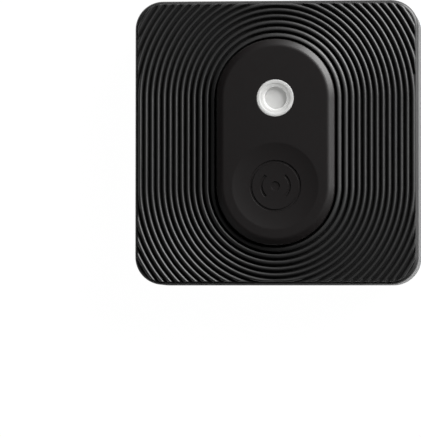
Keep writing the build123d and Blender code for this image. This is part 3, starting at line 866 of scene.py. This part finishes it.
def dress_nodes(finishes: Finishes) -> None:
    """Give every CAD node that stays a real finish.

    Args:
        finishes: The tag's finishes.
    """
    wanted = {
        "pad_seal": finishes.silicone, "housing_seal": finishes.silicone, "rear_cover": finishes.housing,
        "battery_door": finishes.housing, "door_seal": finishes.rubber, "mounting_tape": finishes.foam,
        "case_screws": finishes.screw, "cell_cradle": finishes.nylon, "circuit_board": finishes.board,
        "switch_base": finishes.chip, "switch_frame": finishes.tin, "switch_plunger": finishes.nylon,
        "switch_terminals": finishes.tin, "status_led": finishes.lamp, "radio_chip": finishes.chip,
        "main_crystal": finishes.tin, "clock_crystal": finishes.tin,
        "chip_antenna": finishes.ceramic, "sounder_case": finishes.chip, "sounder_coil": finishes.copper,
        "sounder_diaphragm": finishes.spring, "capacitors": finishes.ceramic, "resistors": finishes.chip,
        "inductors": finishes.ceramic, "coin_cell_can": finishes.nickel, "coin_cell_cap": finishes.nickel,
        "coin_cell_grommet": finishes.nylon, "coin_cell_core": finishes.powder,
        "cell_contact_positive": finishes.gold, "cell_contact_negative": finishes.gold}
    for name, material in wanted.items():
        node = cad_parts[name]
        if not node.hide_render:
            dress(node, material)
            LOG.info("%s keeps its CAD shape", name)


@dataclass(frozen=True)
class SoftLamp:
    """Soft square lamp that faces the tag.

    The azimuth is in degrees anticlockwise from +X and the elevation in degrees above the floor.
    The distance and the side of the square are in metres.
    """

    name: str
    azimuth: float
    elevation: float
    distance: float
    size: float
    watts: float

    def build(self) -> None:
        """Hang the lamp and turn it to the tag."""
        data = bpy.data.lights.new(self.name, "AREA")
        data.shape = "SQUARE"
        data.size = self.size
        data.energy = self.watts
        lamp = bpy.data.objects.new(self.name, data)
        a, e = math.radians(self.azimuth), math.radians(self.elevation)
        way = Vector((math.cos(a) * math.cos(e), math.sin(a) * math.cos(e), math.sin(e)))
        lamp.location = way * self.distance
        lamp.rotation_mode = "QUATERNION"
        lamp.rotation_quaternion = way.to_track_quat("Z", "Y")
        bpy.context.scene.collection.objects.link(lamp)


@dataclass
class Studio:
    """Pale floor, soft lights and the camera."""

    aim_mm: Point = (0.0, 0.0, 9.7)
    distance: float = 530.0       # from the aim to the camera
    side_deg: float = 4.7         # the camera leans this far to +X
    rise_deg: float = -2.7        # and this far to +Y
    lens: float = 326.7
    sensor: float = 36.0
    off_axis_mm: Flat = (8.8, 10.16)
    clip_m: Flat = (0.01, 10.0)
    floor_half: float = 1500.0
    sweep_glow: float = 1.01
    glow_share: float = 0.985     # share of that glow in what the camera sees of the floor
    surround: float = 0.03        # strength of the even light from all round
    key: SoftLamp = SoftLamp("key", 42, 29, 0.6, 0.45, 14.5)
    fill: SoftLamp = SoftLamp("fill", 215, 35, 0.8, 0.5, 0.3)

    def floor(self) -> None:
        """Large pale floor that is seen from above only."""
        mesh = bmesh.new()
        bmesh.ops.create_grid(mesh, x_segments=1, y_segments=1, size=self.floor_half)
        floor = new_piece("floor", mesh)
        material, tree, shader, _ = new_material("white_paper_sweep")
        shader.inputs["Base Color"].default_value = linear("#f4f4f4")
        shader.inputs["Roughness"].default_value = 0.9
        shader.inputs["Specular IOR Level"].default_value = 0.0
        # The sweep is lit from behind as well, which clears the tag's shadow as the eye sees it.
        glow = add_node(tree, "ShaderNodeEmission", {"Strength": self.sweep_glow}, {})
        seen = tree.nodes.new("ShaderNodeLightPath")
        share = add_node(tree, "ShaderNodeMath", {"operation": "MULTIPLY", 1: self.glow_share}, {
            0: (seen, "Is Camera Ray")})
        lit = add_node(tree, "ShaderNodeMixShader", {}, {0: (share, 0), 1: (shader, 0), 2: (glow, 0)})
        side = tree.nodes.new("ShaderNodeNewGeometry")
        clear = tree.nodes.new("ShaderNodeBsdfTransparent")
        paper = add_node(tree, "ShaderNodeMixShader", {}, {
            0: (side, "Backfacing"), 1: (lit, 0), 2: (clear, 0)})
        tree.links.new(paper.outputs[0], tree.nodes["Material Output"].inputs["Surface"])
        dress(floor, material)

    def lights(self) -> None:
        """Key from the upper right, weak fill from the left, dim surroundings."""
        self.key.build()
        self.fill.build()
        world = bpy.data.worlds.new("studio")
        world.use_nodes = True
        sky = world.node_tree.nodes["Background"]
        sky.inputs["Color"].default_value = (1.0, 1.0, 1.0, 1.0)
        sky.inputs["Strength"].default_value = self.surround
        bpy.context.scene.world = world

    def camera(self) -> None:
        """Long lens above the tag, swung so that the tag stands off the lens's axis."""
        scene = bpy.context.scene
        data = bpy.data.cameras.new("camera")
        camera = bpy.data.objects.new("camera", data)
        scene.collection.objects.link(camera)
        scene.camera = camera
        data.sensor_width = self.sensor
        data.lens = self.lens
        a, e = math.radians(self.side_deg), math.radians(self.rise_deg)
        back = Vector((math.sin(a) * math.cos(e), math.sin(e), math.cos(a) * math.cos(e)))
        aim = Vector(self.aim_mm)
        right = Vector((0.0, 1.0, 0.0)).cross(back).normalized()
        turn = Matrix((right, back.cross(right), back)).transposed().to_quaternion()
        to_tag = Vector((self.off_axis_mm[0], self.off_axis_mm[1], -self.distance)).normalized()
        swing = to_tag.rotation_difference(Vector((0.0, 0.0, -1.0)))
        camera.rotation_mode = "QUATERNION"
        camera.rotation_quaternion = turn @ swing
        camera.location = (aim + back * self.distance) * MM
        data.clip_start, data.clip_end = self.clip_m

    def build(self) -> None:
        """Set up floor, lights, camera and a plain colour transform."""
        self.floor()
        self.lights()
        self.camera()
        bpy.context.scene.view_settings.view_transform = "Standard"


def main() -> None:
    """Build the tag's pieces in order, then the studio."""
    logging.basicConfig(level=logging.INFO, format="%(message)s")
    finishes = Finishes()
    Studio().build()
    FrontCover().build(finishes)
    PressPad().build(finishes)
    LightGuide().build(finishes)
    SnapDome().build(finishes)
    dress_nodes(finishes)


if __name__ == "__main__":
    main()
